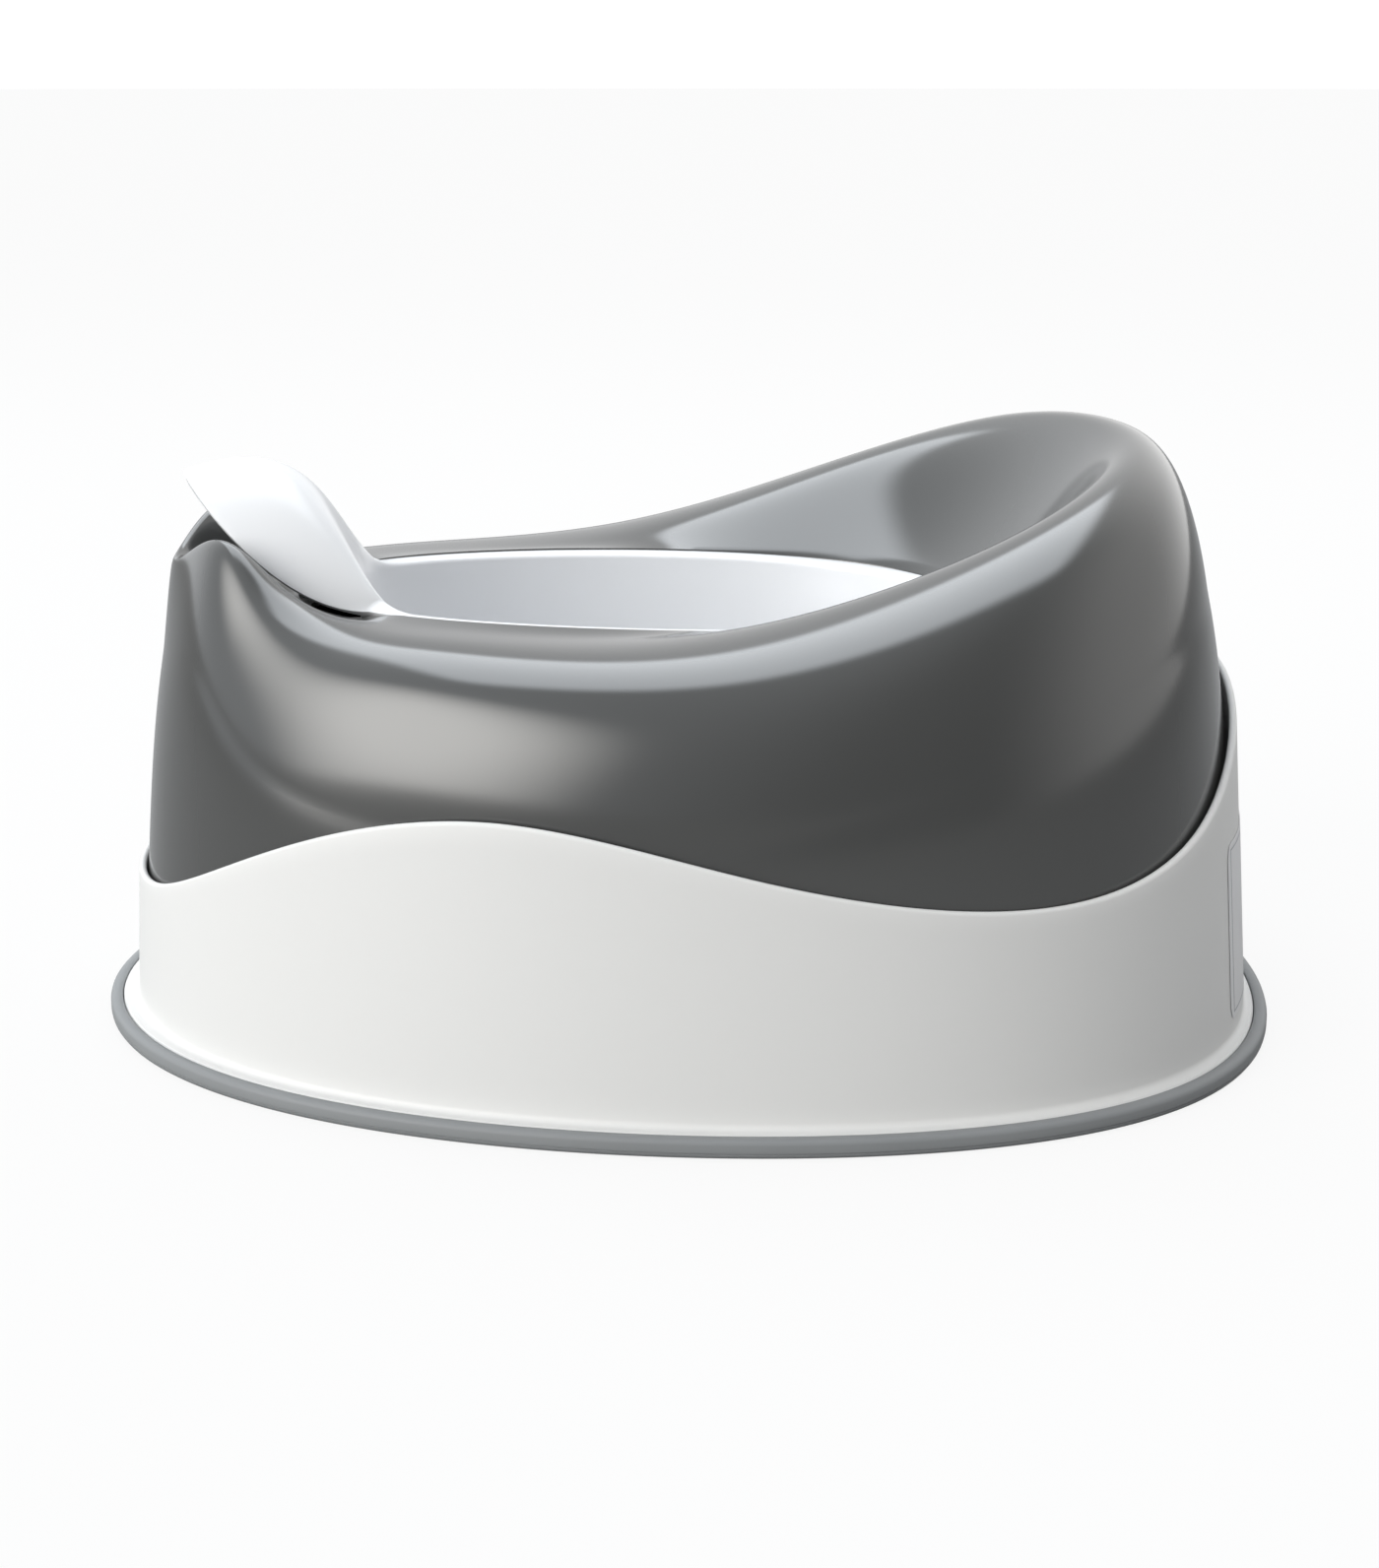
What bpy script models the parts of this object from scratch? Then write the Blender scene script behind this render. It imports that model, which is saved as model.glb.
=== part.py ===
# Potty training chair: a lift-out inner pot with a splash guard, a glossy seat shell,
# a satin base skirt with a soft grip rim under it, four base screws and a rear label.
# Metres, +Z up. The front points to -X, the backrest stands at +X, and the chair is the
# same on both sides of the plane Y = 0. The origin is on the floor, mid-length.
import math

import bmesh
import bpy
import numpy as np

# ---- overall sizes -------------------------------------------------------------------
LENGTH = 0.360                  # outside of the grip rim, front to rear
HALF_WIDTH = 0.152              # outside of the grip rim, at mid-length
FOOT_EGG = 0.195                # how much wider the rear of the footprint is
SQUARENESS = 0.018              # how much fuller than an ellipse the corners are
RIM_HEIGHT = 0.1265             # seat shell's edge round the opening, on average
BACKREST_RISE = 0.048           # backrest above RIM_HEIGHT
NOSE_RISE = 0.024               # front nose above RIM_HEIGHT

# ---- opening and pot -----------------------------------------------------------------
OPENING_CENTRE = -0.013
OPENING_HALF_LENGTH = 0.1047
OPENING_HALF_WIDTH = 0.0669
OPENING_EGG = 0.085
OPENING_TILT = 0.0045           # how far the opening's edge falls towards the rear
OPENING_SAG = 0.0005            # and how far its ends fall below its sides
LIP_DROP = 0.0045               # upright lip at the opening's edge
SEAT_WIDTH = 0.0032             # ledge under the pot's flange
POT_CLEARANCE = 0.0006
POT_WALL = 0.0024
POT_FLANGE = 0.0066
POT_STEP = 0.0004               # the pot's flange sits this far below the shell's edge
POT_FLOOR = 0.024               # underside of the pot's floor above the ground
POT_DRAFT = 0.010               # how far the pot's wall leans in from rim to floor
POT_CORNER = 0.022
FLANGE_FALL = 0.0020            # the flange's inner edge lies this far below its outer one
FLANGE_CROWN = 0.0020           # and it arches this far above the inner one
FLOOR_HUB = 0.45                # innermost ring of the floor, as a share of its radius

# ---- splash guard, one moulding with the pot -----------------------------------------
GUARD_ROOT = 0.096              # where the guard's edge leaves the seat shell
GUARD_REACH = 0.150             # tip ahead of the origin
GUARD_TIP_RISE = 0.0365         # tip above the pot's flange
GUARD_BACK_ROUND = 0.0050       # how far the guard's back bows forward at its foot
GUARD_LEAN = 0.0065             # first control point of the guard's centre line
GUARD_CLIMB = 0.0230
GUARD_CROWN_LENGTH = 0.0380     # second control point, back from the tip
GUARD_CROWN_LIFT = 0.0125
GUARD_EDGE_POWER = 1.9          # how late the guard's edge climbs on its way to the tip
HOOD_ROWS = 9                   # rows from the guard's foot to its edge
HOOD_FIRST_ROW = 9.0            # how much finer the row beside the flange is at the tip

# ---- seat shell ----------------------------------------------------------------------
CUTAWAY_LEAD = 8.873            # degrees behind the guard's root where the edge starts down
CUTAWAY_RUN = 16.0              # degrees over which it goes down CUTAWAY_DEPTH
CUTAWAY_DEPTH = 0.0030
SHELL_WALL = 0.0025
HEM_WIDTH = 0.0125              # inward flange that rests on the base's ledge
WALL_MIDDLE = 0.62              # height of the wall's middle, as a share of the shoulder's
BROW_LIFT = 0.0020              # the curve's controls stand this far above the brow
SLOPE_PLACE = 0.45              # where the seat's slope is steered, from brow to edge
EDGE_ROLL = 0.0006
SECTION_ROWS = 17               # points of the shell's section from hem to edge
BOSS_RADIUS = 0.0048
BOSS_HEIGHT = 0.009
BOSS_SINK = 0.0015              # how deep a boss is sunk into the hem
BOSS_CAP = 0.0015               # solid end of a boss above its pilot hole

# ---- base skirt and grip rim ---------------------------------------------------------
FRONT_INSET = 0.0084            # foot of the skirt's wall from the outside of the rim
REAR_INSET = 0.0064
FRONT_DRAFT = 0.052             # inward lean per unit of height
REAR_DRAFT = 0.072
SKIRT_WALL = 0.0022
EDGE_ROUND = 0.0006             # rounding of the skirt's top edge
FOOT_ROUND = 0.0018             # fillet between the foot's flange and the wall
WALL_FOOT = 0.012               # height of the first row above the fillet
SHELL_GAP = 0.0005
SKIRT_WAVE = {0: 0.1060, 20: 0.0975, 40: 0.0745, 62: 0.0625, 90: 0.0735, 113: 0.0872,
              140: 0.0700, 162: 0.0500, 180: 0.0465}
LEDGE_HEIGHT = 0.030
LEDGE_WIDTH = 0.0160
LEDGE_THICKNESS = 0.0026
GRIP_WIDTH = 0.0037
GRIP_HEIGHT = 0.0055
GRIP_ROUND = 0.0012
SOLE_WIDTH = 0.0120
SOLE_THICKNESS = 0.0018
TOUCH_GAP = 0.0003

# ---- screws and label ----------------------------------------------------------------
SCREW_ANGLES = (38.0, 138.0, -138.0, -38.0)
SCREW_RADIUS = 0.00175
SCREW_HEAD_RADIUS = 0.0040
SCREW_HEAD_HEIGHT = 0.0024
SCREW_LENGTH = 0.0105
SCREW_CLEARANCE = 0.0003
SCREW_STEPS = 16
CUT_OVER = 0.0020               # how far a cutter runs past the wall it cuts
LABEL_START = -33.5             # degrees round from the rear
LABEL_END = -4.0
LABEL_LOW = 0.011
LABEL_HIGH = 0.064
LABEL_COLUMNS = 16
LABEL_ROWS = 5
LABEL_THICKNESS = 0.0004

COLUMNS = 64                    # sections round the chair
HOOD_COLUMNS = 17               # sections across the splash guard
FORM_SIDES = 20
MERGE = 0.00001


def clear_scene():
    for item in list(bpy.data.objects):
        bpy.data.objects.remove(item, do_unlink=True)


def new_collection(name):
    collection = bpy.data.collections.new(name)
    bpy.context.scene.collection.children.link(collection)
    return collection


def material(name, colour, roughness, metallic=0.0):
    result = bpy.data.materials.new(name)
    result.use_nodes = True
    shader = result.node_tree.nodes["Principled BSDF"]
    shader.inputs["Base Color"].default_value = (*colour, 1.0)
    shader.inputs["Roughness"].default_value = roughness
    shader.inputs["Metallic"].default_value = metallic
    return result


def oval(angle, centre, half_length, half_width, egg):
    """A point of an egg-shaped outline; angle 0 is the rear, pi the front."""
    full = 1.0 - SQUARENESS
    x = half_length * (math.cos(angle) - SQUARENESS * math.cos(3 * angle)) / full
    y = half_width * (math.sin(angle) + SQUARENESS * math.sin(3 * angle)) / full
    return np.array([centre + x, y * (1.0 + egg * math.cos(angle))])


def foot(angle, inset):
    """The footprint's outline, moved in by inset."""
    return oval(angle, 0.0, LENGTH / 2 - inset, HALF_WIDTH - inset, FOOT_EGG)


def opening(angle, inset=0.0):
    """The seat opening's outline, moved in by inset."""
    return oval(angle, OPENING_CENTRE, OPENING_HALF_LENGTH - inset,
                OPENING_HALF_WIDTH - inset, OPENING_EGG)


def rim_height(angle):
    """Height of the opening's edge, before the shell's is cut away under the guard."""
    return RIM_HEIGHT - OPENING_TILT * math.cos(angle) - OPENING_SAG * math.cos(2 * angle)


def guard_root_angle():
    """How far round from the rear the guard's edge leaves the pot's flange."""
    half_length = OPENING_HALF_LENGTH - POT_CLEARANCE
    return math.pi - math.acos((GUARD_ROOT + OPENING_CENTRE) / half_length)


def shell_edge(angle):
    """Height of the seat shell's edge, lower in front so the guard can cross over it."""
    place = abs((math.degrees(angle) + 180.0) % 360.0 - 180.0)
    start = math.degrees(guard_root_angle()) - CUTAWAY_LEAD
    part = min(max((place - start) / CUTAWAY_RUN, 0.0), 1.0)
    return rim_height(angle) - CUTAWAY_DEPTH * part * part * (3.0 - 2.0 * part)


def skirt_draft(angle):
    return FRONT_DRAFT + (REAR_DRAFT - FRONT_DRAFT) * 0.5 * (1.0 + math.cos(angle))


def skirt_inset(height, angle):
    """Outside of the base skirt's wall at a height, from the outside of the rim."""
    at_foot = FRONT_INSET + (REAR_INSET - FRONT_INSET) * 0.5 * (1.0 + math.cos(angle))
    return at_foot + skirt_draft(angle) * height


def skirt_top(angle):
    """The skirt's wavy top edge: high behind, two crests beside, low in front."""
    return through(SKIRT_WAVE, angle)


def through(knots, angle):
    """A smooth even curve of the angle through {degrees: value}, flat at 0 and 180."""
    degrees = np.array(sorted(knots), dtype=float)
    values = np.array([knots[key] for key in sorted(knots)], dtype=float)
    count = len(degrees)
    gaps = np.diff(degrees)
    system = np.zeros((count, count))
    slopes = np.zeros(count)
    system[0, 0] = system[-1, -1] = 1.0
    for row in range(1, count - 1):
        before, after = gaps[row - 1], gaps[row]
        system[row, row - 1] = 1.0 / before
        system[row, row] = 2.0 / before + 2.0 / after
        system[row, row + 1] = 1.0 / after
        slopes[row] = 3.0 * ((values[row] - values[row - 1]) / before ** 2
                             + (values[row + 1] - values[row]) / after ** 2)
    slopes = np.linalg.solve(system, slopes)
    place = abs((math.degrees(angle) + 180.0) % 360.0 - 180.0)
    row = min(max(int(np.searchsorted(degrees, place)) - 1, 0), count - 2)
    width = gaps[row]
    part = (place - degrees[row]) / width
    rest = 1.0 - part
    return ((1 + 2 * part) * rest ** 2 * values[row] + part * rest ** 2 * width * slopes[row]
            + part ** 2 * (3 - 2 * part) * values[row + 1] - part ** 2 * rest * width * slopes[row + 1])


def b_spline(points, count):
    """Even samples of a clamped cubic B-spline over its control points."""
    points = np.array(points, dtype=float)
    spans = len(points) - 3
    knots = np.concatenate([np.zeros(3), np.arange(spans + 1), np.full(3, spans)])
    samples = []
    for place in np.linspace(0.0, spans, count):
        span = min(int(place), spans - 1) + 3
        work = [points[span - 3 + k].copy() for k in range(4)]
        for level in range(1, 4):
            for k in range(3, level - 1, -1):
                low = knots[span - 3 + k]
                high = knots[span + 1 + k - level]
                blend = (place - low) / (high - low)
                work[k] = (1 - blend) * work[k - 1] + blend * work[k]
        samples.append(work[3])
    return samples


# Brow of the seat shell: its height over the rim as a share of the nose's or the
# backrest's rise, and how far it lies from the wall (0) towards the opening (1).
BROW_BACK = {0: 1.00, 30: 0.88, 60: 0.46, 90: 0.04, 120: -0.01, 150: 0.0, 180: 0.0}
BROW_FRONT = {0: 0.0, 90: 0.0, 125: 0.03, 140: 0.16, 150: 0.45, 159: 0.92, 168: 0.88, 180: 0.55}
BROW_PLACE = {0: 0.36, 45: 0.40, 90: 0.46, 125: 0.46, 150: 0.43, 165: 0.34, 180: 0.30}
BROW_SPREAD = {0: 0.15, 45: 0.20, 90: 0.32, 125: 0.30, 150: 0.16, 165: 0.07, 180: 0.05}
BROW_DROP = {0: 0.042, 45: 0.040, 90: 0.046, 125: 0.044, 150: 0.036, 165: 0.030, 180: 0.026}
WALL_LEAN = {0: 0.07, 45: 0.03, 90: 0.01, 125: 0.03, 150: 0.07, 165: 0.12, 180: 0.15}
SLOPE_FILL = {0: 0.28, 110: 0.28, 145: -0.15, 160: -0.10, 180: 0.0}


def shell_section(angle, count):
    """The shell's outside at an angle, from the hem up and over to the opening's edge."""
    hem = LEDGE_HEIGHT + TOUCH_GAP + SHELL_WALL / 2
    edge = shell_edge(angle)
    brow = (RIM_HEIGHT + BACKREST_RISE * through(BROW_BACK, angle)
            + NOSE_RISE * through(BROW_FRONT, angle))
    place = through(BROW_PLACE, angle)
    spread = through(BROW_SPREAD, angle)
    lean = through(WALL_LEAN, angle)
    shoulder = brow - through(BROW_DROP, angle)
    slope = place + spread + SLOPE_PLACE * (1.0 - place - spread)
    slope_height = edge + through(SLOPE_FILL, angle) * (brow - edge) - EDGE_ROLL
    controls = [
        (0.0, hem),
        (0.10 * lean, hem + WALL_MIDDLE * (shoulder - hem)),
        (0.70 * lean, shoulder),
        (place - spread, brow + BROW_LIFT),
        (place + spread, brow + BROW_LIFT),
        (slope, slope_height),
        (1.0, edge),
    ]
    wall_inset = skirt_inset(hem, angle) + SKIRT_WALL + SHELL_GAP
    points = []
    for share, height in b_spline(controls, count):
        inset = wall_inset + skirt_draft(angle) * (min(height, shoulder) - hem)
        plan = (1.0 - share) * foot(angle, inset) + share * opening(angle)
        points.append((plan[0], plan[1], height))
    return points


def ring_angles(count):
    return [2 * math.pi * index / count for index in range(count)]


def loft_mesh(name, columns, wrap_rows=False):
    """A surface over columns of points; the columns go once round the chair."""
    build = bmesh.new()
    grid = [[build.verts.new(point) for point in column] for column in columns]
    rows = len(grid[0])
    for index, column in enumerate(grid):
        after = grid[(index + 1) % len(grid)]
        for row in range(rows if wrap_rows else rows - 1):
            above = (row + 1) % rows
            build.faces.new((column[row], after[row], after[above], column[above]))
    mesh = bpy.data.meshes.new(name)
    bmesh.ops.recalc_face_normals(build, faces=build.faces)
    rearmost = max(build.faces, key=lambda face: face.calc_center_median().x)
    if rearmost.normal.x < 0:
        bmesh.ops.reverse_faces(build, faces=build.faces)
    build.to_mesh(mesh)
    build.free()
    return mesh


def add_object(name, mesh, collection, finish):
    mesh.materials.append(finish)
    for face in mesh.polygons:
        face.use_smooth = True
    item = bpy.data.objects.new(name, mesh)
    collection.objects.link(item)
    return item


def thicken(item, thickness):
    wall = item.modifiers.new("wall", "SOLIDIFY")
    wall.thickness = thickness
    wall.offset = -1.0
    wall.use_even_offset = True
    wall.use_rim = True


def cylinder(name, radius, low, high, place, collection):
    """A hidden form that is added to, or cut from, another object."""
    build = bmesh.new()
    bmesh.ops.create_cone(build, cap_ends=True, segments=FORM_SIDES, radius1=radius,
                          radius2=radius, depth=high - low)
    mesh = bpy.data.meshes.new(name)
    build.to_mesh(mesh)
    build.free()
    item = bpy.data.objects.new(name, mesh)
    item.location = (place[0], place[1], (low + high) / 2)
    collection.objects.link(item)
    item.hide_render = True
    item.display_type = "WIRE"
    return item


def combine(item, other, operation):
    step = item.modifiers.new(other.name, "BOOLEAN")
    step.operation = operation
    step.object = other
    step.solver = "EXACT"


def screw_place(degrees):
    """Middle of the ledge, where a screw passes through it."""
    angle = math.radians(degrees)
    hem_inset = skirt_inset(LEDGE_HEIGHT, angle) + SKIRT_WALL + SHELL_GAP + SHELL_WALL
    return foot(angle, hem_inset + 0.5 * HEM_WIDTH)


def build_seat_shell(parts, cutters, finish):
    """Glossy moulding: hem flange, wall, shoulder, brow, seat slope, lip and pot ledge."""
    columns = []
    hem = LEDGE_HEIGHT + TOUCH_GAP
    for angle in ring_angles(COLUMNS):
        skin = shell_section(angle, SECTION_ROWS)
        wall_inset = skirt_inset(hem, angle) + SKIRT_WALL + SHELL_GAP
        inner = foot(angle, wall_inset + HEM_WIDTH)
        wall = foot(angle, wall_inset)
        edge = shell_edge(angle)
        lip = opening(angle)
        ledge = opening(angle, SEAT_WIDTH)
        column = [(inner[0], inner[1], hem), (wall[0], wall[1], hem)]
        column += skin[1:]
        column.append((lip[0], lip[1], edge - LIP_DROP))
        column.append((ledge[0], ledge[1], edge - LIP_DROP))
        columns.append(column)
    item = add_object("seat_shell", loft_mesh("seat_shell", columns), parts, finish)
    thicken(item, SHELL_WALL)
    for index, degrees in enumerate(SCREW_ANGLES, start=1):
        place = screw_place(degrees)
        top = hem + SHELL_WALL + BOSS_HEIGHT
        boss = cylinder(f"boss_form_{index}", BOSS_RADIUS, hem + SHELL_WALL - BOSS_SINK, top,
                        place, cutters)
        combine(item, boss, "UNION")
        pilot = cylinder(f"pilot_cut_{index}", SCREW_RADIUS + SCREW_CLEARANCE,
                         hem - CUT_OVER, top - BOSS_CAP, place, cutters)
        combine(item, pilot, "DIFFERENCE")
    return item


def build_base_skirt(parts, cutters, finish):
    """Satin moulding: foot flange, drafted wall with a wavy edge, and an inner ledge."""
    columns = []
    floor = SOLE_THICKNESS + TOUCH_GAP
    edge_inset = GRIP_WIDTH + TOUCH_GAP
    ledge_low = LEDGE_HEIGHT - LEDGE_THICKNESS
    for angle in ring_angles(COLUMNS):
        top = skirt_top(angle)
        at_top = skirt_inset(top, angle)
        at_foot = skirt_inset(GRIP_HEIGHT + FOOT_ROUND, angle)
        at_ledge = skirt_inset(LEDGE_HEIGHT, angle)
        under_ledge = skirt_inset(ledge_low, angle)
        section = [
            (edge_inset, floor),
            (edge_inset, GRIP_HEIGHT),
            (at_foot - FOOT_ROUND, GRIP_HEIGHT),
            (at_foot, GRIP_HEIGHT + FOOT_ROUND),
            (skirt_inset(WALL_FOOT, angle), WALL_FOOT),
            (skirt_inset(0.5 * top, angle), 0.5 * top),
            (at_top, top - EDGE_ROUND),
            (at_top + 0.5 * SKIRT_WALL, top),
            (at_top + SKIRT_WALL, top - EDGE_ROUND),
            (at_ledge + SKIRT_WALL, LEDGE_HEIGHT),
            (at_ledge + LEDGE_WIDTH, LEDGE_HEIGHT),
            (under_ledge + LEDGE_WIDTH, ledge_low),
            (under_ledge + SKIRT_WALL, ledge_low),
            (skirt_inset(floor, angle) + SKIRT_WALL, floor),
        ]
        column = []
        for inset, height in section:
            plan = foot(angle, inset)
            column.append((plan[0], plan[1], height))
        columns.append(column)
    item = add_object("base_skirt", loft_mesh("base_skirt", columns, wrap_rows=True),
                      parts, finish)
    for index, degrees in enumerate(SCREW_ANGLES, start=1):
        hole = cylinder(f"ledge_cut_{index}", SCREW_RADIUS + SCREW_CLEARANCE,
                        ledge_low - CUT_OVER, LEDGE_HEIGHT + CUT_OVER, screw_place(degrees),
                        cutters)
        combine(item, hole, "DIFFERENCE")
    return item


def build_grip_rim(parts, finish):
    """Soft rubber edge round the foot, with a sole under the skirt's flange."""
    section = [
        (GRIP_ROUND, 0.0), (0.0, GRIP_ROUND), (0.0, GRIP_HEIGHT - GRIP_ROUND),
        (GRIP_ROUND, GRIP_HEIGHT), (GRIP_WIDTH, GRIP_HEIGHT), (GRIP_WIDTH, SOLE_THICKNESS),
        (SOLE_WIDTH, SOLE_THICKNESS), (SOLE_WIDTH, 0.0),
    ]
    columns = []
    for angle in ring_angles(COLUMNS):
        column = []
        for inset, height in section:
            plan = foot(angle, inset)
            column.append((plan[0], plan[1], height))
        columns.append(column)
    return add_object("grip_rim", loft_mesh("grip_rim", columns, wrap_rows=True), parts, finish)


def strip_path(inner, outer, swell, samples):
    """A Bezier from the bowl's wall over to the pot's outer edge, at even steps.

    swell is 0 on the plain flange and 1 on the centre line of the guard, where the
    strip climbs the guard's back, rounds its crown and comes down to the tip.
    """
    inner, outer = np.array(inner), np.array(outer)
    inward = inner - outer
    inward[2] = 0.0
    climb = inner + np.array([-GUARD_LEAN * swell, 0.0, FLANGE_CROWN + GUARD_CLIMB * swell])
    crown = outer + (1.0 - swell) * 0.5 * inward
    crown = crown + swell * np.array([GUARD_CROWN_LENGTH, 0.0, GUARD_CROWN_LIFT])
    path = []
    for part in samples:
        rest = 1.0 - part
        path.append(rest ** 3 * inner + 3 * rest ** 2 * part * climb
                    + 3 * rest * part ** 2 * crown + part ** 3 * outer)
    return path


def pot_columns():
    """Columns of the pot's rim: a strip all round, and the guard's further rows."""
    join = guard_root_angle()
    start = opening(join, POT_CLEARANCE)
    root = opening(join, POT_CLEARANCE + POT_FLANGE)
    columns = []
    plain = COLUMNS - HOOD_COLUMNS
    for index in range(plain):
        angle = -join + 2 * join * (index + 1) / (plain + 1)
        top = rim_height(angle) - POT_STEP
        inner = opening(angle, POT_CLEARANCE + POT_FLANGE)
        outer = opening(angle, POT_CLEARANCE)
        strip = strip_path((*inner, top - FLANGE_FALL), (*outer, top), 0.0, (0.0, 0.5, 1.0))
        columns.append((strip, []))
    top = rim_height(join) - POT_STEP
    for index in range(HOOD_COLUMNS):
        turn = math.pi * index / (HOOD_COLUMNS - 1)
        swell = math.sin(turn)
        inner = (root[0] - GUARD_BACK_ROUND * swell, root[1] * math.cos(turn),
                 top - FLANGE_FALL)
        outer = (start[0] - (GUARD_REACH + start[0]) * swell, start[1] * math.cos(turn),
                 top + GUARD_TIP_RISE * swell ** GUARD_EDGE_POWER)
        share = 1.0 / (1.0 + HOOD_FIRST_ROW * swell)
        strip = strip_path(inner, outer, swell, (0.0, 0.5 * share, share))
        further = [share + (1.0 - share) * (row + 1) / HOOD_ROWS for row in range(HOOD_ROWS)]
        columns.append((strip, strip_path(inner, outer, swell, further)))
    return columns


def bowl_lines(top_point):
    """Floor and wall of the bowl below a point of its rim."""
    low = POT_FLOOR + POT_WALL
    top = np.array(top_point)
    centre = np.array([OPENING_CENTRE, 0.0])
    spread = top[:2] - centre
    size = float(np.linalg.norm(spread))
    heading = spread / size
    points = []
    plan = centre + heading * (size - POT_DRAFT - POT_CORNER) * FLOOR_HUB
    points.append((plan[0], plan[1], low))
    for step in range(4):
        turn = math.pi / 2 * step / 3
        reach = size - POT_DRAFT - POT_CORNER * (1 - math.sin(turn))
        plan = centre + heading * reach
        points.append((plan[0], plan[1], low + POT_CORNER * (1 - math.cos(turn))))
    for share in (0.33, 0.67):
        height = low + POT_CORNER + share * (top[2] - low - POT_CORNER)
        plan = centre + heading * (size - POT_DRAFT * (1 - share))
        points.append((plan[0], plan[1], height))
    return points


def build_inner_pot(parts, finish):
    """White moulding that lifts out: bowl, rim flange and forward-leaning splash guard."""
    build = bmesh.new()
    rings = []
    hoods = []
    for rim, hood in pot_columns():
        lines = bowl_lines(rim[0]) + rim
        rings.append([build.verts.new(point) for point in lines])
        hoods.append([rings[-1][-1]] + [build.verts.new(point) for point in hood])
    for index, column in enumerate(rings):
        after = rings[(index + 1) % len(rings)]
        for row in range(len(column) - 1):
            build.faces.new((column[row], after[row], after[row + 1], column[row + 1]))
    build.faces.new([column[0] for column in reversed(rings)])
    guard = [column for column in hoods if len(column) > 1]
    for column, after in zip(guard, guard[1:]):
        for row in range(len(column) - 1):
            build.faces.new((column[row], after[row], after[row + 1], column[row + 1]))
    bmesh.ops.remove_doubles(build, verts=build.verts, dist=MERGE)
    bmesh.ops.recalc_face_normals(build, faces=build.faces)
    floor = min(build.faces, key=lambda face: face.calc_center_median().z)
    if floor.normal.z < 0:
        bmesh.ops.reverse_faces(build, faces=build.faces)
    mesh = bpy.data.meshes.new("inner_pot")
    build.to_mesh(mesh)
    build.free()
    item = add_object("inner_pot", mesh, parts, finish)
    thicken(item, POT_WALL)
    return item


def build_base_screws(parts, finish):
    """Pan-head screws, driven up through the base's ledge into the shell's bosses."""
    seat = LEDGE_HEIGHT - LEDGE_THICKNESS - TOUCH_GAP
    profile = [
        (0.0, seat + SCREW_LENGTH), (0.8 * SCREW_RADIUS, seat + SCREW_LENGTH),
        (SCREW_RADIUS, seat + SCREW_LENGTH - 0.0008), (SCREW_RADIUS, seat),
        (SCREW_HEAD_RADIUS, seat), (SCREW_HEAD_RADIUS, seat - 0.5 * SCREW_HEAD_HEIGHT),
        (0.7 * SCREW_HEAD_RADIUS, seat - SCREW_HEAD_HEIGHT), (0.0, seat - SCREW_HEAD_HEIGHT),
    ]
    for index, degrees in enumerate(SCREW_ANGLES, start=1):
        place = screw_place(degrees)
        mesh = bpy.data.meshes.new(f"base_screw_{index}")
        edges = [(k, k + 1) for k in range(len(profile) - 1)]
        mesh.from_pydata([(radius, 0.0, height) for radius, height in profile], edges, [])
        item = bpy.data.objects.new(f"base_screw_{index}", mesh)
        mesh.materials.append(finish)
        item.location = (place[0], place[1], 0.0)
        parts.objects.link(item)
        turn = item.modifiers.new("turn", "SCREW")
        turn.steps = turn.render_steps = SCREW_STEPS
        turn.use_merge_vertices = True
        turn.merge_threshold = MERGE
        turn.use_normal_calculate = True


def build_rear_label(parts, finish):
    """Thin blank care label on the rear of the skirt, to one side."""
    build = bmesh.new()
    grid = []
    for column in range(LABEL_COLUMNS + 1):
        share = column / LABEL_COLUMNS
        angle = math.radians(LABEL_START + (LABEL_END - LABEL_START) * share)
        points = []
        for row in range(LABEL_ROWS + 1):
            height = LABEL_LOW + (LABEL_HIGH - LABEL_LOW) * row / LABEL_ROWS
            inset = skirt_inset(height, angle) - TOUCH_GAP - LABEL_THICKNESS
            plan = foot(angle, inset)
            points.append(build.verts.new((plan[0], plan[1], height)))
        grid.append(points)
    for column in range(LABEL_COLUMNS):
        for row in range(LABEL_ROWS):
            build.faces.new((grid[column][row], grid[column + 1][row],
                             grid[column + 1][row + 1], grid[column][row + 1]))
    mesh = bpy.data.meshes.new("rear_label")
    build.to_mesh(mesh)
    build.free()
    item = add_object("rear_label", mesh, parts, finish)
    thicken(item, LABEL_THICKNESS)
    return item


clear_scene()
parts = new_collection("potty_training_chair")
cutters = new_collection("cutters")
build_inner_pot(parts, material("white_gloss", (0.85, 0.86, 0.87), 0.22))
build_seat_shell(parts, cutters, material("grey_gloss", (0.105, 0.112, 0.115), 0.12))
build_base_skirt(parts, cutters, material("white_satin", (0.80, 0.80, 0.80), 0.45))
build_grip_rim(parts, material("grey_rubber", (0.27, 0.28, 0.30), 0.60))
build_base_screws(parts, material("zinc", (0.62, 0.62, 0.64), 0.35, 1.0))
build_rear_label(parts, material("label_film", (0.83, 0.83, 0.84), 0.40))
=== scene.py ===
import math

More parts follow.
